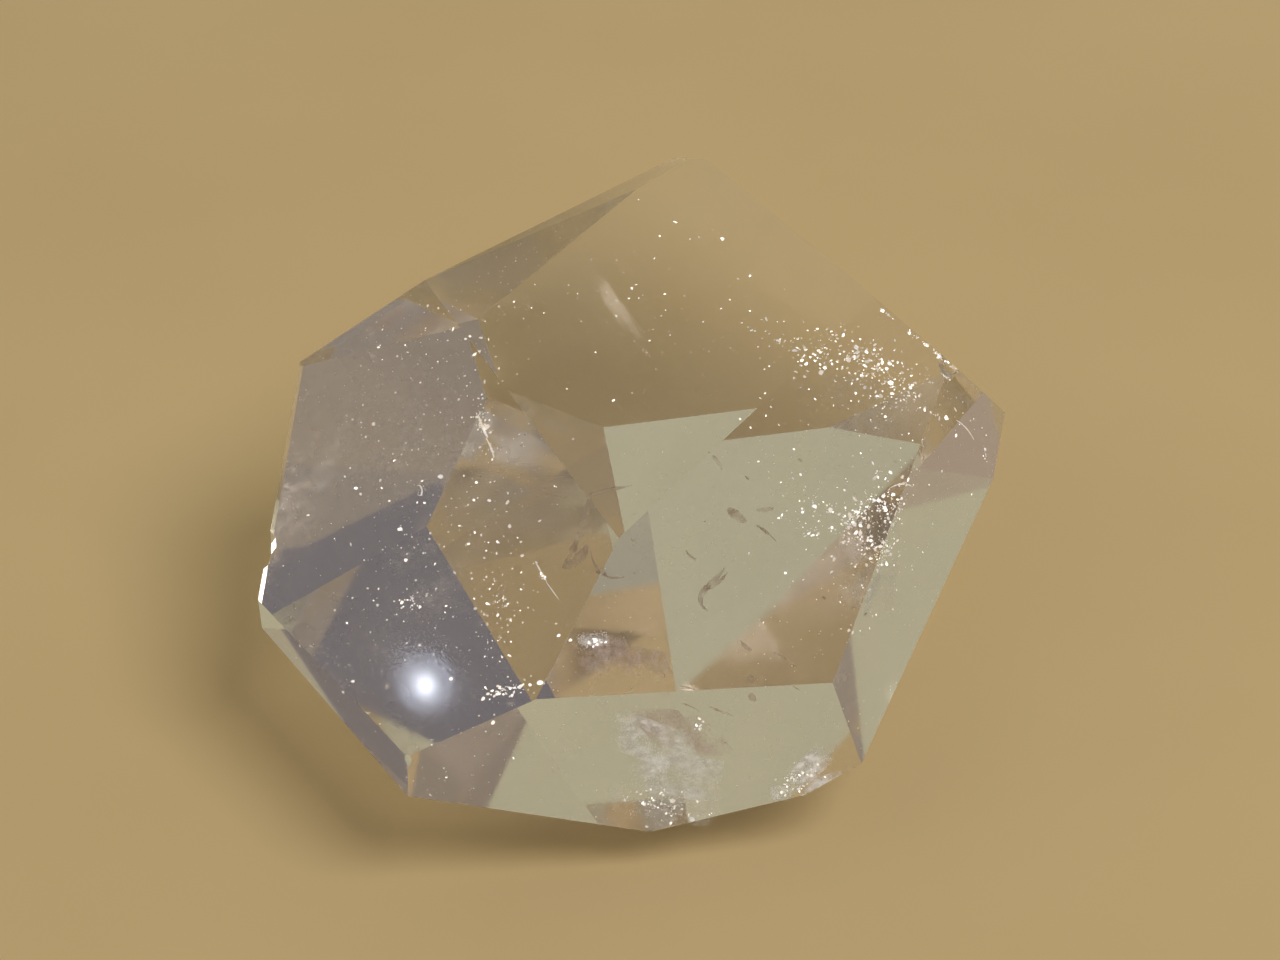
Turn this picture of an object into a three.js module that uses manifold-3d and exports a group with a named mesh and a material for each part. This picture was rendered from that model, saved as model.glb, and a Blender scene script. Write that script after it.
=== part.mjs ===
// A piece of clear quartz with flakes of mica in it, ground to flat polished facets and lying on its base.
// Millimetres, +Z up. The stone is cut with its top facets nearly level, and then laid over on its base facet, so
// that it stands on the plane z = 0 with the middle of its box on the Z axis.
import * as THREE from 'three';
import Module from 'manifold-3d';
import { mergeVertices } from 'three/addons/utils/BufferGeometryUtils.js';

// The rough block that every facet is ground from.
const roughWidth = 60;

// The base facet that the stone lies on. While the stone is cut, it faces down and leans towards the front.
const base = { slope: 18.6, faces: -90, reach: 8.3 };

// The facets of the top. slope is the facet's angle from level, faces is the compass direction that it
// faces (0 is +X, 90 is +Y), and reach is its distance from the middle of the stone.
const topFacets = {
  left: { slope: 15.3, faces: 170.9, reach: 8.1 },
  back: { slope: 10.6, faces: 145.5, reach: 7.52 },
  right: { slope: 8.7, faces: -50.5, reach: 9.48 },
  frontLeft: { slope: 69.1, faces: -147.1, reach: 22.19 },
  front: { slope: 54.6, faces: -79.9, reach: 19.17 },
  frontRight: { slope: 57.9, faces: -22.7, reach: 16.77 },
  backRight: { slope: 60.3, faces: 41.2, reach: 16.01 },
};

// The corners of the outline, counterclockwise from above.
const corners = {
  heel: new THREE.Vector3(-11.62, -22.71, 4.44),
  frontTip: new THREE.Vector3(0.51, -22.94, 1.21),
  frontBend: new THREE.Vector3(8.4, -21.11, 1.78),
  frontCorner: new THREE.Vector3(11.19, -19.93, 2.78),
  rightCorner: new THREE.Vector3(20.92, 2.21, 2.14),
  topCorner: new THREE.Vector3(2.65, 18.94, 6.05),
  backBend: new THREE.Vector3(-12.1, 10.52, 4.67),
  leftCorner: new THREE.Vector3(-18.99, 5.96, 3.01),
  leftFoot: new THREE.Vector3(-20.08, -10.28, 3.41),
  heelBend: new THREE.Vector3(-19.91, -11.32, 2.32),
  leftRidge: new THREE.Vector3(-18.8, 5.9, 1.9),
};

// The facets under the outline. Each holds the edge between two corners, counterclockwise, and leans in below
// it by undercut degrees.
const lowerFacets = [
  { from: 'heel', to: 'frontTip', undercut: 35.9 },
  { from: 'frontTip', to: 'frontBend', undercut: 34.2 },
  { from: 'frontBend', to: 'frontCorner', undercut: 27.2 },
  { from: 'frontCorner', to: 'rightCorner', undercut: 58.9 },
  { from: 'topCorner', to: 'backBend', undercut: -9.3 },
  { from: 'backBend', to: 'leftCorner', undercut: 0.4 },
  { from: 'leftCorner', to: 'leftFoot', undercut: 12 },
  { from: 'leftRidge', to: 'heelBend', undercut: 41.5 },
  { from: 'heelBend', to: 'heel', undercut: 53 },
];

// The facets of the underside. slope and reach are measured as on the top, but these face down.
const underFacets = [
  { slope: 15.8, faces: 82.2, reach: 13.56 },
  { slope: 37.5, faces: 10.1, reach: 9.6 },
  { slope: 28.7, faces: 37.4, reach: 11.73 },
];

// The facet under the right corner, by the way it faces and its undercut.
const rightUnder = { faces: 47.1, undercut: 46.6 };

// Corners worn blunt by handling: a small flat across the corner.
const wornCorners = [
  { at: corners.topCorner, toward: new THREE.Vector3(0.05, 0.75, 0.66), depth: 0.35 },
  { at: corners.rightCorner, toward: new THREE.Vector3(0.93, 0.2, 0.3), depth: 0.4 },
];

// Shell-shaped chips out of the edges: a ball bites depth into the edge.
const chips = [
  { at: new THREE.Vector3(-19.9, -6.9, 3.3), toward: new THREE.Vector3(-0.9, 0, 0.45), radius: 2.2, depth: 0.45 },
  { at: new THREE.Vector3(16.4, 1.3, 8.2), toward: new THREE.Vector3(0.75, 0.25, 0.6), radius: 1.3, depth: 0.3 },
  { at: new THREE.Vector3(-11.6, -21.6, 6.1), toward: new THREE.Vector3(-0.3, -0.8, 0.5), radius: 0.9, depth: 0.18 },
];

const up = new THREE.Vector3(0, 0, 1);
const wasm = await Module();
wasm.setup();

// A closed mesh, its shared corners merged, as a solid for cutting.
function solid(geometry) {
  geometry.deleteAttribute('normal');
  geometry.deleteAttribute('uv');
  const merged = mergeVertices(geometry, 1e-5);
  return new wasm.Manifold(new wasm.Mesh({
    numProp: 3,
    vertProperties: new Float32Array(merged.attributes.position.array),
    triVerts: new Uint32Array(merged.index.array),
  }));
}

// The solid back as a mesh geometry with flat facets.
function geometryOf(shape) {
  const mesh = shape.getMesh();
  const geometry = new THREE.BufferGeometry();
  geometry.setAttribute('position', new THREE.BufferAttribute(mesh.vertProperties, 3));
  geometry.setIndex(new THREE.BufferAttribute(mesh.triVerts, 1));
  return geometry;
}

// The outward direction of a facet by its slope from level and the way it faces.
function facing(slope, faces) {
  const tilt = THREE.MathUtils.degToRad(slope);
  const turn = THREE.MathUtils.degToRad(faces);
  return new THREE.Vector3(Math.sin(tilt) * Math.cos(turn), Math.sin(tilt) * Math.sin(turn), Math.cos(tilt));
}

// The grinding wheel: a block whose flat underside lies on the plane through point, all of it on the
// side that outward points to.
function wheel(point, outward) {
  const size = 4 * roughWidth;
  const block = new THREE.BoxGeometry(size, size, size);
  block.translate(0, 0, size / 2);
  block.applyQuaternion(new THREE.Quaternion().setFromUnitVectors(up, outward.clone().normalize()));
  block.translate(point.x, point.y, point.z);
  return solid(block);
}

// The outward direction of a lower facet: level and square to its edge, turned down by the undercut.
function underEdge(from, to, undercut) {
  const along = to.clone().sub(from).normalize();
  const level = new THREE.Vector3(along.y, -along.x, 0).normalize();
  const rising = new THREE.Vector3().crossVectors(level, along);
  const lean = THREE.MathUtils.degToRad(undercut);
  return level.multiplyScalar(Math.cos(lean)).addScaledVector(rising, -Math.sin(lean));
}

let stone = solid(new THREE.BoxGeometry(roughWidth, roughWidth, roughWidth));

for (const { slope, faces, reach } of Object.values(topFacets)) {
  const outward = facing(slope, faces);
  stone = stone.subtract(wheel(outward.clone().multiplyScalar(reach), outward));
}
for (const { from, to, undercut } of lowerFacets) {
  stone = stone.subtract(wheel(corners[from], underEdge(corners[from], corners[to], undercut)));
}
stone = stone.subtract(wheel(corners.rightCorner, facing(90 + rightUnder.undercut, rightUnder.faces)));
for (const { slope, faces, reach } of [base, ...underFacets]) {
  const outward = facing(180 - slope, faces);
  stone = stone.subtract(wheel(outward.clone().multiplyScalar(reach), outward));
}
for (const { at, toward, depth } of wornCorners) {
  const outward = toward.clone().normalize();
  stone = stone.subtract(wheel(at.clone().addScaledVector(outward, -depth), outward));
}
for (const { at, toward, radius, depth } of chips) {
  const ball = new THREE.SphereGeometry(radius, 20, 12);
  const centre = at.clone().addScaledVector(toward.clone().normalize(), radius - depth);
  ball.translate(centre.x, centre.y, centre.z);
  stone = stone.subtract(solid(ball));
}

const geometry = geometryOf(stone);
geometry.rotateX(THREE.MathUtils.degToRad(base.slope));
geometry.computeBoundingBox();
const boxMiddle = geometry.boundingBox.getCenter(new THREE.Vector3());
geometry.translate(-boxMiddle.x, -boxMiddle.y, -geometry.boundingBox.min.z);

const quartz = new THREE.Mesh(
  geometry,
  new THREE.MeshStandardMaterial({ color: 0xd9d3c4, roughness: 0.05, metalness: 0 }),
);
quartz.name = 'quartz';

const group = new THREE.Group();
group.add(quartz);
export default group;
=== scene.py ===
import bpy
import bmesh
import numpy as np
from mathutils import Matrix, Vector


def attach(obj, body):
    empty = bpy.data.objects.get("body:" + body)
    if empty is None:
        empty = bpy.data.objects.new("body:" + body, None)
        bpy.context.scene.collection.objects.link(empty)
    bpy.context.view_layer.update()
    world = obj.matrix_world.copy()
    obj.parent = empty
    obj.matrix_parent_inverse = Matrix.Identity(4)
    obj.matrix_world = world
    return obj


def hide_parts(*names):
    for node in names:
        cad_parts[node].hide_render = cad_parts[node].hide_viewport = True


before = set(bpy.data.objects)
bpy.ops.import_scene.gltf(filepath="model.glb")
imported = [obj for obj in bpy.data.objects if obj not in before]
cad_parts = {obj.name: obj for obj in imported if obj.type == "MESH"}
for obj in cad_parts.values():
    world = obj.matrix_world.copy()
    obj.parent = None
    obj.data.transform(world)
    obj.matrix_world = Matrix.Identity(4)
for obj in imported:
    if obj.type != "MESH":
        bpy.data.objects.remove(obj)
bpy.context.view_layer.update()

# The view. The stone is seen from the front and above, close up with a long lens, and what lies inside it is
# placed by where it shows in this view, so the view comes first. The photograph is 1280 by 960 pixels.
mm = 0.001
photo_width = 1280
photo_height = 960
view_elevation = np.radians(35.4)
half_field = np.radians(12)
view_distance = 167.1 * mm
view_target = np.array([0.0, 2.5, 8.3]) * mm
sensor_width = 36

view_back = np.array([0, -np.cos(view_elevation), np.sin(view_elevation)])
view_right = np.array([1.0, 0, 0])
view_up = np.cross(view_back, view_right)
eye = view_target + view_back * view_distance

camera_data = bpy.data.cameras.new("view")
camera_data.sensor_width = sensor_width
camera_data.lens = sensor_width / 2 / np.tan(half_field)
camera_data.clip_start = 0.01
camera_data.clip_end = 20
camera = bpy.data.objects.new("view", camera_data)
camera.location = eye
camera.rotation_euler = (np.pi / 2 - view_elevation, 0, 0)
bpy.context.scene.collection.objects.link(camera)
bpy.context.scene.camera = camera


def sight_lines(pixels):
    """Unit directions from the eye through photo pixels: right times x, plus up times y, minus back."""
    pixels = np.atleast_2d(np.asarray(pixels, float))
    focal = photo_width / 2 / np.tan(half_field)
    x = (pixels[:, 0] - photo_width / 2) / focal
    y = (photo_height / 2 - pixels[:, 1]) / focal
    lines = x[:, None] * view_right + y[:, None] * view_up - view_back
    return lines / np.linalg.norm(lines, axis=1, keepdims=True)


# The crystal. One piece of clear quartz with a faint smoky rose tint, ground to flat facets and polished by
# hand, so its edges are a little worn and its faces carry fine scratches, pits and dust.
quartz_ior = 1.544
quartz_tint = (0.86, 0.76, 0.70, 1)
quartz_density = 6
dust_colour = (0.92, 0.90, 0.87, 1)
dust_at_specks = 0.4
pit_depth = 0.02 * mm
edge_wear = 0.07 * mm
facet_size = 1.0 * mm**2
normal_steps = 40
least_slant = 1e-9
merge_distance = 0.0001 * mm
flat_angle = np.radians(0.2)


class Shade:
    """A socket of a node tree. Arithmetic on it adds Math nodes, so masks are plain expressions."""

    def __init__(self, tree, socket=None):
        self.tree = tree
        self.socket = socket

    def node(self, kind, settings=(), inputs=(), output=0):
        """Adds any node: its settings first, then values or links for its sockets. Gives one output."""
        made = self.tree.nodes.new("ShaderNode" + kind)
        for name, value in dict(settings).items():
            setattr(made, name, value)
        for name, value in dict(inputs).items():
            if isinstance(value, Shade):
                self.tree.links.new(value.socket, made.inputs[name])
            else:
                made.inputs[name].default_value = value
        return Shade(self.tree, made.outputs[output])

    def math(self, operation, first, second):
        return self.node("Math", {"operation": operation}, {0: first, 1: second})

    def __add__(self, other):
        return self.math("ADD", self, other)

    def __radd__(self, other):
        return self.math("ADD", other, self)

    def __sub__(self, other):
        return self.math("SUBTRACT", self, other)

    def __rsub__(self, other):
        return self.math("SUBTRACT", other, self)

    def __mul__(self, other):
        return self.math("MULTIPLY", self, other)

    def __rmul__(self, other):
        return self.math("MULTIPLY", other, self)

    def over(self, level):
        """1 where the value is above the level, else 0."""
        return self.math("GREATER_THAN", self, level)

    def ramp(self, low, high, start=0.0, end=1.0):
        """Start where the value is at the low limit or past it, end at the high limit, straight between."""
        return self.node("MapRange", inputs={0: self, 1: low, 2: high, 3: start, 4: end})

    def blend(self, low, high):
        """Two colours, or the sockets of two colours, mixed by this value."""
        first, second = (end if isinstance(end, Shade) else (*end, 1) for end in (low, high))
        return self.node("Mix", {"data_type": "RGBA"}, {"Factor": self, 6: first, 7: second}, 2)


def new_material(name):
    """An empty material: its tree as a Shade, and its Principled shader's node. Pieces that glow with painted
    light aren't counted as lamps."""
    material = bpy.data.materials.new(name)
    material.use_nodes = True
    material.cycles.emission_sampling = "NONE"
    principled = material.node_tree.nodes["Principled BSDF"]
    return material, Shade(material.node_tree), principled


def set_sockets(tree, shader, values):
    """Sets a shader's sockets by name, to plain values or to links."""
    for name, value in values.items():
        if isinstance(value, Shade):
            tree.links.new(value.socket, shader.inputs[name])
        else:
            shader.inputs[name].default_value = value


def clear_quartz():
    """Clear polished quartz: full transmission, smudges in the roughness, scratches and pits as bump, and
    over it by a Mix Shader a film of pale dust, thicker where the smudges are and at single specks."""
    material, tree, principled = new_material("clear_quartz")
    place = tree.node("TexCoord", output="Object")
    smudges = tree.node("TexNoise", inputs={"Vector": place, "Scale": 160, "Detail": 4})
    smear = smudges.ramp(0.35, 0.75, 0.03, 0.07)
    stretched = tree.node("Mapping", inputs={"Vector": place, "Rotation": (0, 0, 0.5), "Scale": (1, 14, 1)})
    scratches = tree.node("TexNoise", inputs={"Vector": stretched, "Scale": 500, "Detail": 3})
    pits = tree.node("TexVoronoi", inputs={"Vector": place, "Scale": 1500})
    pitted = pits.ramp(0.0, 0.16)
    relief = scratches * 0.25 + pitted
    bump = tree.node("Bump", inputs={"Height": relief, "Strength": 0.03, "Distance": pit_depth})
    set_sockets(material.node_tree, principled, {
        "Base Color": (1, 1, 1, 1),
        "Roughness": smear,
        "IOR": quartz_ior,
        "Transmission Weight": 1.0,
        "Normal": bump,
    })
    specks = tree.node("TexVoronoi", inputs={"Vector": place, "Scale": 1900})
    film = smudges.ramp(0.3, 0.8, 0.01, 0.06)
    dust = tree.node("BsdfDiffuse", inputs={"Color": dust_colour})
    polish = Shade(tree.tree, principled.outputs["BSDF"])
    dustiness = film + (1 - specks.over(0.07)) * dust_at_specks
    dusty = tree.node("MixShader", inputs={0: dustiness, 1: polish, 2: dust})
    output = material.node_tree.nodes["Material Output"]
    material.node_tree.links.new(dusty.socket, output.inputs["Surface"])
    body = material.node_tree.nodes.new("ShaderNodeVolumeAbsorption")
    body.inputs["Color"].default_value = quartz_tint
    body.inputs["Density"].default_value = quartz_density
    material.node_tree.links.new(body.outputs["Volume"], output.inputs["Volume"])
    return material


def facets_of(solid):
    """The flat facets of a CAD solid: unit normals and offsets, one for each plane with enough area."""
    mesh = solid.data
    corners = np.empty(len(mesh.vertices) * 3)
    mesh.vertices.foreach_get("co", corners)
    corners = corners.reshape(-1, 3)
    mesh.calc_loop_triangles()
    triangles = np.empty(len(mesh.loop_triangles) * 3, int)
    mesh.loop_triangles.foreach_get("vertices", triangles)
    first, second, third = corners[triangles.reshape(-1, 3)].transpose(1, 0, 2)
    cross = np.cross(second - first, third - first)
    area = np.linalg.norm(cross, axis=1) / 2
    normals = cross / np.maximum(2 * area, 1e-15)[:, None]
    offsets = (normals * first).sum(1)
    planes = np.column_stack([normals * normal_steps, offsets / mm]).round().astype(int)
    found, group = np.unique(planes, axis=0, return_inverse=True)
    sizes = np.bincount(group.ravel(), area)
    largest = [np.where(group.ravel() == g)[0] for g in np.where(sizes > facet_size)[0]]
    chosen = [g[area[g].argmax()] for g in largest]
    return normals[chosen], offsets[chosen]


facet_normals, facet_offsets = facets_of(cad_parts["quartz"])


def inside(points, margin):
    """Which points lie inside the stone, at least a margin below every facet."""
    return (points @ facet_normals.T < facet_offsets - margin).all(1)


def meet(pixels):
    """Where sight lines enter the stone: the farthest facet plane that faces the eye. Gives the points, the
    facets' normals, the lines, and the cosine between line and normal."""
    lines = sight_lines(pixels)
    slant = lines @ facet_normals.T
    divisor = np.where(np.abs(slant) > least_slant, slant, least_slant)
    reach = (facet_offsets - eye @ facet_normals.T) / divisor
    entry = np.where(slant < 0, reach, -np.inf)
    normal = facet_normals[entry.argmax(1)]
    surface = eye + lines * entry.max(1)[:, None]
    return surface, normal, lines, -(lines * normal).sum(1)[:, None]


def bend(lines, normal):
    """Directions of lines that go into the stone, by Snell's law: the line over the refractive index, and
    enough of the facet's normal to make it a unit."""
    cosine = -(lines * normal).sum(1)[:, None]
    ratio = 1 / quartz_ior
    return ratio * lines + (ratio * cosine - np.sqrt(1 - ratio**2 * (1 - cosine**2))) * normal


def below_surface(pixels, depth):
    """Points inside the stone that show at photo pixels: on the bent sight line, a depth along it."""
    surface, normal, lines, cosine = meet(pixels)
    return surface + bend(lines, normal) * np.reshape(depth, (-1, 1))


def mirrored(pixel, distance):
    """The place whose mirror image in the facet shows at a photo pixel, at a distance from the facet."""
    surface, normal, lines, cosine = meet([pixel])
    return (surface + (lines + 2 * cosine * normal) * distance)[0]


def glinting(pixels, source):
    """Normals of flat plates inside the stone that mirror a light at the source to the eye: halfway between
    the bent lines to the light and to the eye."""
    surface, normal, lines, cosine = meet(pixels)
    incoming = surface - source
    incoming /= np.linalg.norm(incoming, axis=1, keepdims=True)
    halfway = -bend(incoming, normal) - bend(lines, normal)
    return halfway / np.linalg.norm(halfway, axis=1, keepdims=True)


def place_piece(piece):
    """The piece joins the scene and rides on the stone."""
    if piece.name not in bpy.context.scene.collection.objects:
        bpy.context.scene.collection.objects.link(piece)
    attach(piece, "root")


def polished_stone(solid):
    """The CAD solid with its corners merged, its flat facets made one face each, and its long edges worn."""
    mesh = bpy.data.meshes.new("crystal")
    shape = bmesh.new()
    shape.from_mesh(solid.data)
    bmesh.ops.remove_doubles(shape, verts=shape.verts, dist=merge_distance)
    bmesh.ops.dissolve_limit(shape, angle_limit=flat_angle, verts=shape.verts, edges=shape.edges)
    worn = shape.edges.layers.float.new("bevel_weight_edge")
    for edge in shape.edges:
        edge[worn] = 1.0 if min(f.calc_area() for f in edge.link_faces) > facet_size else 0.0
    shape.to_mesh(mesh)
    shape.free()
    stone = bpy.data.objects.new("crystal", mesh)
    wear = stone.modifiers.new("worn edges", "BEVEL")
    wear.limit_method = "WEIGHT"
    wear.width = edge_wear
    wear.segments = 2
    wear.harden_normals = False
    return stone


crystal = polished_stone(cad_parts["quartz"])
crystal.data.materials.append(clear_quartz())
place_piece(crystal)
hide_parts("quartz")

# The mica. Some two thousand thin flakes caught in the quartz as it grew: silvery plates with straight sides,
# up to half a millimetre across, strewn in drifts, most of them under the right and left faces. They glint
# partly by mirroring the warm lamp and partly by a painted glow.
chance = np.random.default_rng(7)
flake_sides = 6
flake_width = 0.12
flake_thickness = 0.015 * mm
flake_scatter = 0.12
flake_cover = 0.07 * mm
flake_limits = (0.05, 0.45)
flake_variation = 0.55
corner_shift = 0.25
least_radius = 0.55
least_stretch = 0.35
silver_cool = (0.95, 0.95, 0.97)
silver_warm = (0.93, 0.86, 0.76)
lamp_place = np.array([0.49, -0.23, 0.78])


def drift(middle, spread, turn, count, depth):
    """Pixels and depths of a drift: a normal spread along and across a line turned by degrees, at depths
    drawn evenly between two."""
    offset = chance.normal(0, 1, (count, 2)) * spread
    angle = np.radians(turn)
    along = np.array([np.cos(angle), np.sin(angle)])
    across = np.array([-along[1], along[0]])
    pixels = np.array(middle) + offset[:, :1] * along + offset[:, 1:] * across
    return pixels, chance.uniform(depth[0], depth[1], count) * mm


def flakes(centres, widths, thickness, sides, facing, scatter):
    """Thin plates. Corner k of a plate lies at its centre plus half its width times (cos, sin) of k / sides
    of a turn in the plate's own plane, unevenly and squeezed along one axis, and half a thickness above and
    below that plane. The planes are square to facing, tilted at random by the scatter."""
    count = len(centres)
    normal = facing + scatter * chance.normal(0, 1, (count, 3))
    normal /= np.linalg.norm(normal, axis=1, keepdims=True)
    first = np.cross(normal, chance.normal(0, 1, (count, 3)))
    first /= np.linalg.norm(first, axis=1, keepdims=True)
    second = np.cross(normal, first)
    angle = np.arange(sides) / sides * 2 * np.pi + chance.uniform(-corner_shift, corner_shift, (count, sides))
    radius = widths[:, None] / 2 * chance.uniform(least_radius, 1.0, (count, sides))
    stretch = chance.uniform(least_stretch, 1.0, (count, 1))
    flat = (radius * np.cos(angle))[:, :, None] * first[:, None] \
        + (radius * stretch * np.sin(angle))[:, :, None] * second[:, None]
    rim = centres[:, None] + flat
    lift = (normal * thickness / 2)[:, None]
    points = np.concatenate([rim + lift, rim - lift], axis=1).reshape(-1, 3)
    start = (np.arange(count) * 2 * sides)[:, None]
    ring = np.arange(sides)
    top = start + ring
    bottom = start + sides + ring[::-1]
    following = (ring + 1) % sides
    walls = start[:, :, None] + np.stack([ring + sides, following + sides, following, ring], axis=1)
    faces = [*top.tolist(), *bottom.tolist(), *walls.reshape(-1, 4).tolist()]
    return points, faces


def piece_from(name, points, faces, material):
    """A mesh object at the origin from points and faces."""
    mesh = bpy.data.meshes.new(name)
    mesh.from_pydata(points.tolist(), [], faces)
    mesh.materials.append(material)
    return bpy.data.objects.new(name, mesh)


def silvery_mica():
    """Pearly silver mica, each drift a little warmer or cooler, with a faint painted glow that makes the
    flakes show as bright glints whatever lies behind them.
    """
    material, tree, principled = new_material("silvery_mica")
    place = tree.node("TexCoord", output="Object")
    tone = tree.node("TexNoise", inputs={"Vector": place, "Scale": 900, "Detail": 2})
    level = tone.ramp(0.35, 0.65)
    colour = level.blend(silver_cool, silver_warm)
    set_sockets(material.node_tree, principled, {
        "Base Color": colour,
        "Metallic": 0.7,
        "Roughness": 0.25,
        "Specular IOR Level": 0.8,
        # Painted glints: the mica glows in its own colour, though it is no lamp.
        "Emission Color": colour,
        "Emission Strength": 0.4,
    })
    return material


silver_drifts = [
    {"middle": (868, 366), "spread": (40, 13), "turn": 22, "count": 260, "depth": (0.3, 3.0)},
    {"middle": (888, 395), "spread": (26, 14), "turn": 14, "count": 120, "depth": (0.3, 2.0)},
    {"middle": (800, 350), "spread": (26, 5), "turn": 22, "count": 60, "depth": (0.3, 2.0)},
    {"middle": (874, 508), "spread": (14, 8), "turn": -20, "count": 110, "depth": (0.3, 1.6)},
    {"middle": (858, 528), "spread": (12, 8), "turn": 10, "count": 80, "depth": (0.3, 1.6)},
    {"middle": (880, 550), "spread": (14, 7), "turn": 30, "count": 70, "depth": (0.3, 1.6)},
    {"middle": (876, 520), "spread": (22, 60), "turn": 10, "count": 130, "depth": (0.3, 2.4)},
    {"middle": (812, 506), "spread": (16, 9), "turn": 0, "count": 36, "depth": (0.3, 1.6)},
    {"middle": (812, 532), "spread": (6, 4), "turn": 0, "count": 18, "depth": (0.3, 1.0)},
    {"middle": (830, 440), "spread": (45, 70), "turn": 0, "count": 90, "depth": (0.2, 4)},
    {"middle": (500, 600), "spread": (11, 42), "turn": 0, "count": 130, "depth": (0.3, 2.5)},
    {"middle": (484, 428), "spread": (3.5, 15), "turn": -18, "count": 60, "depth": (0.2, 0.6)},
    {"middle": (420, 490), "spread": (4, 3), "turn": 0, "count": 8, "depth": (0.2, 0.5)},
    {"middle": (410, 602), "spread": (7, 6), "turn": 0, "count": 26, "depth": (0.2, 1.0)},
    {"middle": (430, 480), "spread": (60, 120), "turn": 0, "count": 420, "depth": (0.2, 6)},
    {"middle": (505, 690), "spread": (20, 4), "turn": -8, "count": 60, "depth": (0.3, 1.2)},
    {"middle": (543, 577), "spread": (2, 3), "turn": 20, "count": 10, "depth": (0.4, 0.6)},
    {"middle": (592, 643), "spread": (6, 2), "turn": -8, "count": 26, "depth": (0.5, 1.0)},
    {"middle": (699, 725), "spread": (3, 3), "turn": 0, "count": 12, "depth": (0.3, 0.6)},
    {"middle": (670, 806), "spread": (24, 8), "turn": 14, "count": 70, "depth": (0.2, 0.8)},
    {"middle": (800, 780), "spread": (12, 9), "turn": -40, "count": 60, "depth": (0.2, 0.8)},
    {"middle": (985, 455), "spread": (1.5, 4), "turn": 10, "count": 8, "depth": (0.2, 0.4)},
    {"middle": (960, 425), "spread": (12, 9), "turn": 40, "count": 18, "depth": (0.2, 0.8)},
    {"middle": (936, 352), "spread": (34, 1.5), "turn": 38, "count": 70, "depth": (0.08, 0.3)},
    {"middle": (650, 320), "spread": (120, 60), "turn": 10, "count": 130, "depth": (0.2, 6)},
]
drifted = [drift(**d) for d in silver_drifts]
silver_pixels = np.concatenate([pixels for pixels, depths in drifted])
silver_places = below_surface(silver_pixels, np.concatenate([depths for pixels, depths in drifted]))
silver_kept = inside(silver_places, flake_cover)
silver_places = silver_places[silver_kept]
silver_facing = glinting(silver_pixels[silver_kept], lamp_place)
silver_widths = chance.lognormal(np.log(flake_width), flake_variation, len(silver_places))
silver_widths = silver_widths.clip(*flake_limits) * mm
silver_flakes = piece_from(
    "mica_flakes",
    *flakes(silver_places, silver_widths, flake_thickness, flake_sides, silver_facing, flake_scatter),
    silvery_mica(),
)
place_piece(silver_flakes)

# The brown mica. A few darker blades and curls lie alone in the clear middle, seen edge on as smoky lines
# lightened by a faint painted glow, with a few needles, bright with the silver mica's painted glow, beside
# them and near the edges. Each is a thin blade along a line of points.
blade_steps = 28
blade_sides = 8
blade_unevenness = 0.35
blade_facing = np.array([0.2, -0.5, 0.8])
brown_dark = (0.36, 0.26, 0.17)
brown_light = (0.55, 0.45, 0.32)


def blades(lines):
    """Closed ribbons. Each follows a cubic fitted to its pixels, at depths that run evenly between two. At a
    share t of its length the section is a flat ellipse, width times the square root of sin(pi t) wide,
    unevenly, and thickness times the same root deep."""
    points = []
    faces = []
    for line in lines:
        pixels = np.array(line["pixels"], float)
        stations = np.linspace(0, 1, len(pixels))
        share = np.linspace(0, 1, blade_steps)
        curve = np.polyfit(stations, pixels, min(3, len(pixels) - 1))
        smooth = sum(np.outer(share ** (len(curve) - 1 - power), curve[power]) for power in range(len(curve)))
        depth = np.interp(share, [0, 1], line["depth"]) * mm
        centre = below_surface(smooth, depth)
        along = np.gradient(centre, axis=0)
        along /= np.linalg.norm(along, axis=1, keepdims=True)
        side = np.cross(along, blade_facing)
        side /= np.linalg.norm(side, axis=1, keepdims=True)
        normal = np.cross(side, along)
        swell = np.sqrt(np.sin(np.pi * share.clip(0.01, 0.99)))
        rough = 1 + blade_unevenness * chance.uniform(-1, 1, blade_steps)
        turn = np.arange(blade_sides) / blade_sides * 2 * np.pi
        wide = np.outer(swell * rough * line["width"] / 2 * mm, np.cos(turn))
        deep = np.outer(swell * line["thickness"] / 2 * mm, np.sin(turn))
        rings = centre[:, None] + wide[:, :, None] * side[:, None] + deep[:, :, None] * normal[:, None]
        first = sum(len(p) for p in points)
        ring = np.arange(blade_sides)
        step = np.arange(blade_steps - 1)[:, None] * blade_sides + first
        following = (ring + 1) % blade_sides
        walls = np.stack([
            step + ring,
            step + following,
            step + following + blade_sides,
            step + ring + blade_sides,
        ], axis=-1)
        faces += walls.reshape(-1, 4).tolist()
        faces.append((first + ring[::-1]).tolist())
        faces.append((first + (blade_steps - 1) * blade_sides + ring).tolist())
        points.append(rings.reshape(-1, 3))
    return np.concatenate(points), faces


def brown_mica():
    """Smoky brown mica, darker and more solid in places and thin enough to see through in others, with a
    faint painted glow that lightens it.
    """
    material, tree, principled = new_material("brown_mica")
    place = tree.node("TexCoord", output="Object")
    stain = tree.node("TexNoise", inputs={"Vector": place, "Scale": 1500, "Detail": 3})
    level = stain.ramp(0.35, 0.65)
    colour = level.blend(brown_dark, brown_light)
    set_sockets(material.node_tree, principled, {
        "Base Color": colour,
        "Roughness": 0.35,
        "Alpha": 0.55 - level * 0.4,
        # Painted light: a faint glow in the mica's own colour, so it doesn't read too dark.
        "Emission Color": colour,
        "Emission Strength": 0.22,
    })
    return material


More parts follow.
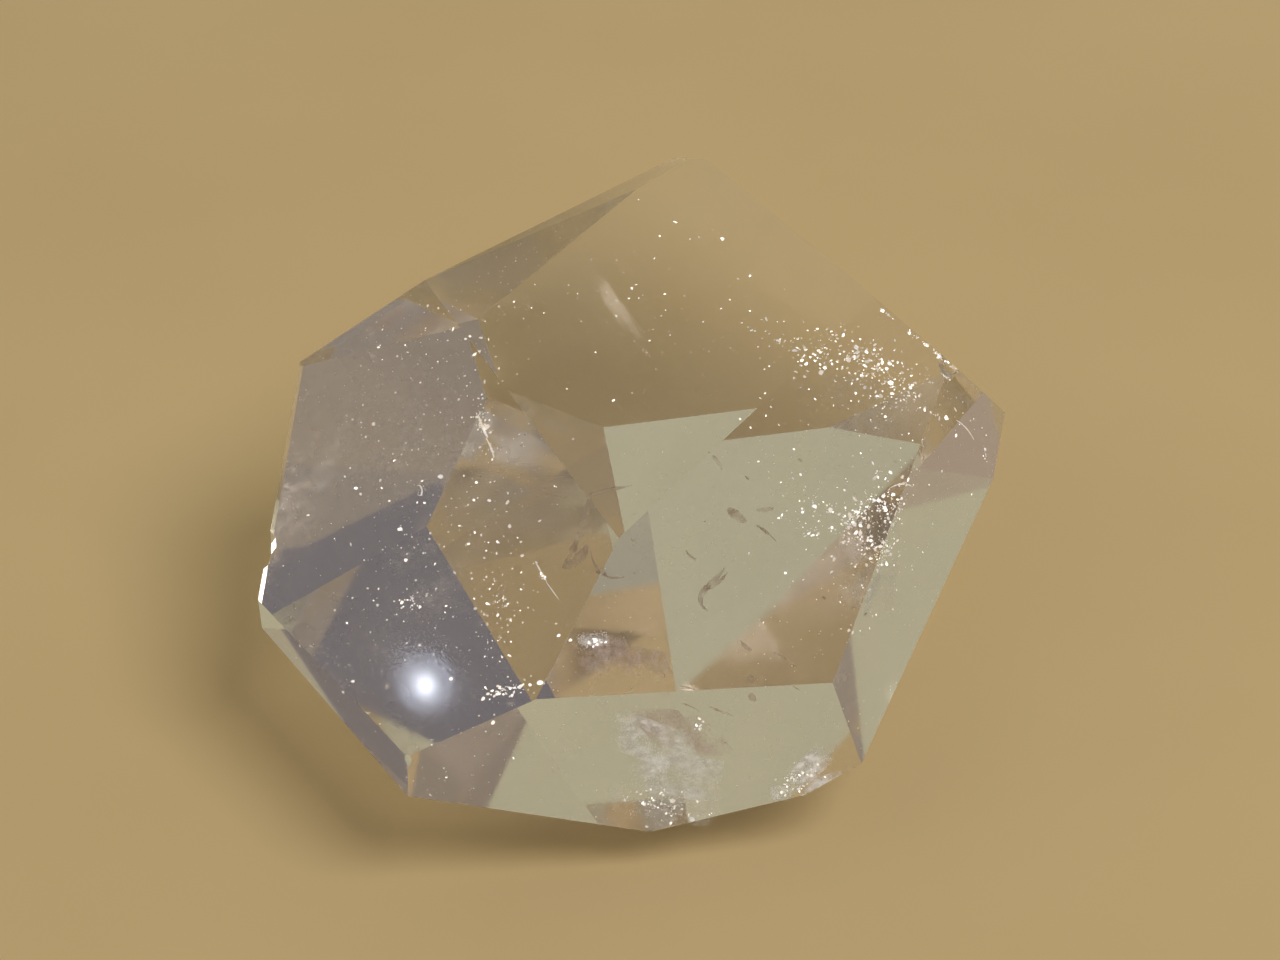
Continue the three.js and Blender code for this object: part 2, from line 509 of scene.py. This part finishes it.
brown_lines = [
    {"pixels": [(591, 493), (584, 520), (575, 545), (562, 568)], "depth": (1.2, 2.6), "width": 0.42,
     "thickness": 0.05},
    {"pixels": [(587, 545), (577, 560), (562, 568)], "depth": (2.4, 2.7), "width": 0.6, "thickness": 0.06},
    {"pixels": [(589, 494), (606, 490), (632, 486)], "depth": (1.2, 1.6), "width": 0.22, "thickness": 0.04},
    {"pixels": [(590, 550), (597, 568), (609, 577), (627, 576)], "depth": (2.0, 2.4), "width": 0.14,
     "thickness": 0.04},
    {"pixels": [(728, 508), (736, 515), (746, 522)], "depth": (3.0, 3.2), "width": 0.55, "thickness": 0.1},
    {"pixels": [(756, 510), (764, 510), (774, 508)], "depth": (3.0, 3.2), "width": 0.3, "thickness": 0.06},
    {"pixels": [(756, 525), (765, 531), (776, 541)], "depth": (3.2, 3.4), "width": 0.16, "thickness": 0.05},
    {"pixels": [(724, 568), (717, 578), (705, 588), (701, 600), (708, 611)], "depth": (3.0, 3.2),
     "width": 0.3, "thickness": 0.06},
    {"pixels": [(728, 572), (716, 584), (704, 590)], "depth": (3.2, 3.3), "width": 0.2, "thickness": 0.05},
    {"pixels": [(774, 652), (784, 658), (798, 668)], "depth": (3.5, 3.7), "width": 0.13, "thickness": 0.05},
    {"pixels": [(749, 694), (752, 697), (756, 701)], "depth": (3.0, 3.1), "width": 0.36, "thickness": 0.2},
    {"pixels": [(740, 640), (746, 647), (752, 650)], "depth": (3.4, 3.5), "width": 0.24, "thickness": 0.06},
    {"pixels": [(681, 703), (690, 706), (699, 711)], "depth": (2.8, 3.0), "width": 0.11, "thickness": 0.05},
    {"pixels": [(708, 706), (720, 711), (734, 716)], "depth": (2.8, 3.0), "width": 0.13, "thickness": 0.05},
    {"pixels": [(686, 550), (690, 556), (697, 560)], "depth": (2.4, 2.5), "width": 0.16, "thickness": 0.05},
    {"pixels": [(712, 455), (718, 462), (722, 470)], "depth": (2.0, 2.1), "width": 0.2, "thickness": 0.05},
    {"pixels": [(631, 538), (633, 540), (636, 542)], "depth": (1.0, 1.0), "width": 0.14, "thickness": 0.1},
    {"pixels": [(745, 476), (747, 478), (749, 480)], "depth": (1.0, 1.0), "width": 0.12, "thickness": 0.1},
    {"pixels": [(798, 459), (800, 460), (802, 462)], "depth": (1.0, 1.0), "width": 0.14, "thickness": 0.1},
    {"pixels": [(822, 596), (824, 598), (826, 599)], "depth": (1.0, 1.0), "width": 0.14, "thickness": 0.1},
]
brown_blades = piece_from("brown_mica", *blades(brown_lines), brown_mica())
place_piece(brown_blades)

bright_lines = [
    {"pixels": [(535, 561), (540, 570), (547, 582)], "depth": (0.5, 0.6), "width": 0.09, "thickness": 0.03},
    {"pixels": [(546, 582), (552, 590), (559, 600)], "depth": (0.6, 0.7), "width": 0.06, "thickness": 0.03},
    {"pixels": [(478, 414), (483, 428), (488, 438)], "depth": (0.2, 0.3), "width": 0.16, "thickness": 0.04},
    {"pixels": [(486, 438), (491, 448), (494, 458)], "depth": (0.2, 0.3), "width": 0.12, "thickness": 0.04},
    {"pixels": [(417, 486), (421, 487), (422, 493), (418, 495)], "depth": (0.2, 0.2), "width": 0.08,
     "thickness": 0.03},
    {"pixels": [(890, 488), (902, 484), (913, 487)], "depth": (0.4, 0.5), "width": 0.1, "thickness": 0.04},
    {"pixels": [(956, 420), (966, 428), (974, 440)], "depth": (0.3, 0.4), "width": 0.08, "thickness": 0.03},
]
# The needles take the silver mica with its painted glow.
bright_needles = piece_from("mica_needles", *blades(bright_lines), silvery_mica())
place_piece(bright_needles)

# The healed fractures. Thin curved films and fine fluid specks, left where the crystal cracked and grew
# together again: a smoky feather across the front, frosty films below and beside it, and pale wisps under the
# left and right facets. Films and specks glow faintly with painted light, in place of light scattered in
# them.
film_steps = 16
film_thickness = 0.02
speck_sides = 4
speck_thickness = 0.02 * mm
speck_alpha = 0.6
speck_cover = 0.15 * mm
speck_limits = (0.02, 0.15)
speck_variation = 0.45
speck_wander = 1.5
speck_gathering = 1.5
speck_levels = (-0.6, 1)


def film_point(film, u, v):
    """Points of a film at shares u and v of its sides. The pixel is its corner plus u first plus v second;
    the depth is mixed from near to far by v, and bowed by sin(pi u) sin(pi v)."""
    sides = u[:, None] * np.array(film["first"]) + v[:, None] * np.array(film["second"])
    pixels = np.array(film["corner"]) + sides
    near, far = film["depth"]
    depth = near + (far - near) * v + film["bow"] * np.sin(np.pi * u) * np.sin(np.pi * v)
    return pixels, depth


def film_mesh(film):
    """A closed sheet: the film's surface as a grid, the same grid a thickness deeper, and walls all round."""
    side = np.linspace(0, 1, film_steps)
    u, v = (grid.ravel() for grid in np.meshgrid(side, side))
    pixels, depth = film_point(film, u, v)
    points = np.concatenate([
        below_surface(pixels, depth * mm),
        below_surface(pixels, (depth + film_thickness) * mm),
    ])
    cell = (np.arange(film_steps - 1)[:, None] * film_steps + np.arange(film_steps - 1)).ravel()
    top = np.stack([cell, cell + film_steps, cell + film_steps + 1, cell + 1], axis=1)
    bottom = top[:, ::-1] + film_steps**2
    low = np.arange(film_steps)
    rim = np.concatenate([low, low[1:] * film_steps + film_steps - 1, film_steps**2 - 1 - low[1:],
                          (film_steps - 1 - low[1:-1]) * film_steps])
    after = np.roll(rim, -1)
    walls = np.stack([rim, after, after + film_steps**2, rim + film_steps**2], axis=1)
    return points, [*top.tolist(), *bottom.tolist(), *walls.tolist()]


def film_material(name, points, low, high, opacity, glow):
    """A cloudy film. Its alpha is a fade towards the rim of the box round its points, times ragged noise
    times finer noise, and its colour follows the finer noise; the glow is painted light, standing in for
    light scattered within it."""
    material, tree, principled = new_material(name)
    place = tree.node("TexCoord", output="Object")
    middle = (points.max(0) + points.min(0)) / 2
    reach = (points.max(0) - points.min(0)) / 2
    offset = tree.node("VectorMath", {"operation": "SUBTRACT"}, {0: place, 1: tuple(middle)})
    share = tree.node("VectorMath", {"operation": "DIVIDE"}, {0: offset, 1: tuple(reach)})
    distance = tree.node("VectorMath", {"operation": "LENGTH"}, {0: share}, "Value")
    fade = distance.ramp(0.5, 1.25, 1.0, 0.0)
    ragged = tree.node("TexNoise", inputs={"Vector": place, "Scale": 450, "Detail": 5, "Roughness": 0.6})
    fine = tree.node("TexNoise", inputs={"Vector": place, "Scale": 2200, "Detail": 4})
    cloud = ragged.ramp(0.42, 0.6) * fine.ramp(0.3, 0.65, 0.3, 1.0)
    colour = fine.ramp(0.4, 0.6).blend(low, high)
    set_sockets(material.node_tree, principled, {
        "Base Color": colour,
        "Roughness": 0.5,
        "Alpha": fade * cloud * opacity,
        # Painted light: the film glows in its own colour, though it is no lamp.
        "Emission Color": colour,
        "Emission Strength": glow,
    })
    return material


def fluid_specks(name, low, high, alpha, glow):
    """Fine specks with a wet gloss, mixed from one colour to the other from patch to patch, and a faint
    painted glow.
    """
    material, tree, principled = new_material(name)
    place = tree.node("TexCoord", output="Object")
    tone = tree.node("TexNoise", inputs={"Vector": place, "Scale": 700, "Detail": 2})
    colour = tone.ramp(0.4, 0.6).blend(low, high)
    set_sockets(material.node_tree, principled, {
        "Base Color": colour,
        "Roughness": 0.2,
        "Specular IOR Level": 0.9,
        "Alpha": alpha,
        # Painted light: the specks glow in their own colour, though they are no lamp.
        "Emission Color": colour,
        "Emission Strength": glow,
    })
    return material


def add_fracture(name, films, low, high, opacity, glow, speck_size, speck_count):
    """The films of one healed fracture, each with its own mesh, and one mesh of specks strewn on them all.
    Specks are kept where a ripple is above a random level. The ripple is a sine wave over u times one over v,
    each bent by a smaller sine wave of the other."""
    centres = []
    for number, film in enumerate(films):
        points, faces = film_mesh(film)
        label = f"{name}_film_{number + 1}"
        cloud = film_material(label, points, low, high, opacity, glow)
        place_piece(piece_from(label, points, faces, cloud))
        u = chance.uniform(0, 1, speck_count)
        v = chance.beta(speck_gathering, speck_gathering, speck_count)
        ripple = np.sin(9 * u + 4 * np.sin(7 * v)) * np.sin(11 * v + 3 * np.sin(6 * u))
        kept = ripple > chance.uniform(*speck_levels, speck_count)
        pixels, depth = film_point(film, u[kept], v[kept])
        centres.append(below_surface(pixels + chance.normal(0, speck_wander, pixels.shape), depth * mm))
    centres = np.concatenate(centres)
    centres = centres[inside(centres, speck_cover)]
    size = chance.lognormal(np.log(speck_size), speck_variation, len(centres)).clip(*speck_limits) * mm
    points, faces = flakes(centres, size, speck_thickness, speck_sides, np.zeros(3), 1.0)
    label = f"{name}_specks"
    wet = fluid_specks(label, low, high, speck_alpha, glow)
    place_piece(piece_from(label, points, faces, wet))


add_fracture("smoky_feather", [
    {"corner": (568, 638), "first": (54, -8), "second": (18, 44), "bow": 0.4, "depth": (1.0, 1.9)},
    {"corner": (608, 640), "first": (56, 12), "second": (14, 34), "bow": 0.4, "depth": (1.0, 1.8)},
    {"corner": (622, 706), "first": (56, 4), "second": (34, 40), "bow": 0.3, "depth": (0.8, 1.6)},
    {"corner": (668, 716), "first": (40, 0), "second": (30, 40), "bow": 0.3, "depth": (0.8, 1.4)},
], low=(0.44, 0.31, 0.22), high=(0.62, 0.50, 0.44), opacity=0.62, glow=0.26, speck_size=0.05, speck_count=500)

add_fracture("frosty_film", [
    {"corner": (600, 700), "first": (90, 34), "second": (20, 52), "bow": 0.4, "depth": (0.8, 1.6)},
    {"corner": (634, 745), "first": (90, 16), "second": (-4, 44), "bow": 0.4, "depth": (0.6, 1.4)},
    {"corner": (600, 778), "first": (110, 10), "second": (20, 44), "bow": 0.3, "depth": (0.4, 1.0)},
    {"corner": (782, 778), "first": (34, -34), "second": (20, 14), "bow": 0.2, "depth": (0.5, 1.2)},
    {"corner": (766, 784), "first": (24, 2), "second": (8, 18), "bow": 0.1, "depth": (0.4, 0.8)},
    {"corner": (576, 634), "first": (30, -2), "second": (4, 14), "bow": 0.1, "depth": (0.8, 1.0)},
], low=(0.60, 0.58, 0.58), high=(0.90, 0.88, 0.84), opacity=0.62, glow=0.32, speck_size=0.05, speck_count=600)

add_fracture("pale_wisp", [
    {"corner": (330, 400), "first": (120, -40), "second": (30, 130), "bow": 0.8, "depth": (1.0, 3.0)},
    {"corner": (380, 540), "first": (100, -10), "second": (10, 90), "bow": 0.6, "depth": (0.8, 2.4)},
    {"corner": (800, 360), "first": (110, 30), "second": (-6, 60), "bow": 0.5, "depth": (0.6, 2.0)},
    {"corner": (846, 480), "first": (60, 10), "second": (-14, 130), "bow": 0.5, "depth": (0.8, 2.0)},
], low=(0.50, 0.50, 0.52), high=(0.78, 0.76, 0.76), opacity=0.2, glow=0.1, speck_size=0.045, speck_count=400)

# The floor and the light. A plain pale floor in a warm soft room, dim overhead and with pale greenish light
# from the left and from behind, a large warm lamp high on the right, and a small cool lamp with a softer glow
# round it, whose glare shows on the left facet.
floor_size = 1.2
floor_gap = 0.08 * mm
floor_dark = (0.73, 0.56, 0.30)
floor_light = (0.77, 0.60, 0.33)
room_colour = (0.25, 0.21, 0.18)
room_left = (0.36, 0.28, 0.21)
room_above = (0.14, 0.13, 0.15)
room_pale = (0.44, 0.415, 0.28)
warm_lamp = {"size": 0.6, "power": 3.8, "colour": (1.0, 0.93, 0.84)}
glare_pixel = (425, 685)
glare_distance = 0.45
glare_lamp = {"size": 0.0035, "power": 0.0012, "colour": (0.86, 0.90, 1.0)}
glow_pixel = (425, 683)
glow_distance = 0.44
glow_lamp = {"size": 0.011, "power": 0.0018, "colour": (0.72, 0.80, 1.0)}


def plain_floor():
    """A pale matt floor with the faintest mottling."""
    material, tree, principled = new_material("pale_floor")
    place = tree.node("TexCoord", output="Object")
    mottle = tree.node("TexNoise", inputs={"Vector": place, "Scale": 30, "Detail": 5})
    level = mottle.ramp(0.3, 0.7)
    colour = level.blend(floor_dark, floor_light)
    set_sockets(material.node_tree, principled, {"Base Color": colour, "Roughness": 0.6})
    return material


half = floor_size / 2
floor = piece_from(
    "floor",
    np.array([(-half, -half, 0), (half, -half, 0), (half, half, 0), (-half, half, 0)]) - (0, 0, floor_gap),
    [(0, 1, 2, 3)],
    plain_floor(),
)
bpy.context.scene.collection.objects.link(floor)


def soft_light(name, place, size, power, colour):
    """A round area light that faces the stone."""
    data = bpy.data.lights.new(name, "AREA")
    data.shape = "DISK"
    data.size = size
    data.energy = power
    data.color = colour
    light = bpy.data.objects.new(name, data)
    light.location = place
    light.rotation_euler = Vector(place).to_track_quat("Z", "Y").to_euler()
    bpy.context.scene.collection.objects.link(light)


soft_light("warm lamp", lamp_place, **warm_lamp)
soft_light("left lamp", mirrored(glare_pixel, glare_distance), **glare_lamp)
soft_light("left glow", mirrored(glow_pixel, glow_distance), **glow_lamp)


def soft_room():
    """Light from all round, by direction: warm and dim, warmer from the far left, greyer overhead, and pale
    and greenish from the upper left and from behind. Each share is a ramp over one axis of the direction, and
    for the pale light that times a ramp over its height."""
    world = bpy.data.worlds.new("soft_room")
    world.use_nodes = True
    tree = Shade(world.node_tree)
    direction = tree.node("TexCoord", output="Generated")
    side, behind, height = (tree.node("SeparateXYZ", inputs={0: direction}, output=axis) for axis in range(3))
    left = side.ramp(-0.35, -0.6) * height.ramp(0.25, 0.4)
    back = behind.ramp(0.3, 0.6) * height.ramp(-0.05, 0.05)
    pale = left.math("MAXIMUM", left, back)
    overhead = height.ramp(0.76, 0.87)
    low_left = side.ramp(-0.55, -0.8)
    low = low_left.blend(room_colour, room_left)
    dim = overhead.blend(low, room_above)
    colour = pale.blend(dim, room_pale)
    background = world.node_tree.nodes["Background"]
    set_sockets(world.node_tree, background, {"Color": colour, "Strength": 1.0})
    return world


bpy.context.scene.world = soft_room()

bpy.context.scene.view_settings.view_transform = "Standard"
bpy.context.scene.cycles.max_bounces = 12
bpy.context.scene.cycles.transmission_bounces = 12
bpy.context.scene.cycles.glossy_bounces = 12
bpy.context.scene.cycles.diffuse_bounces = 2
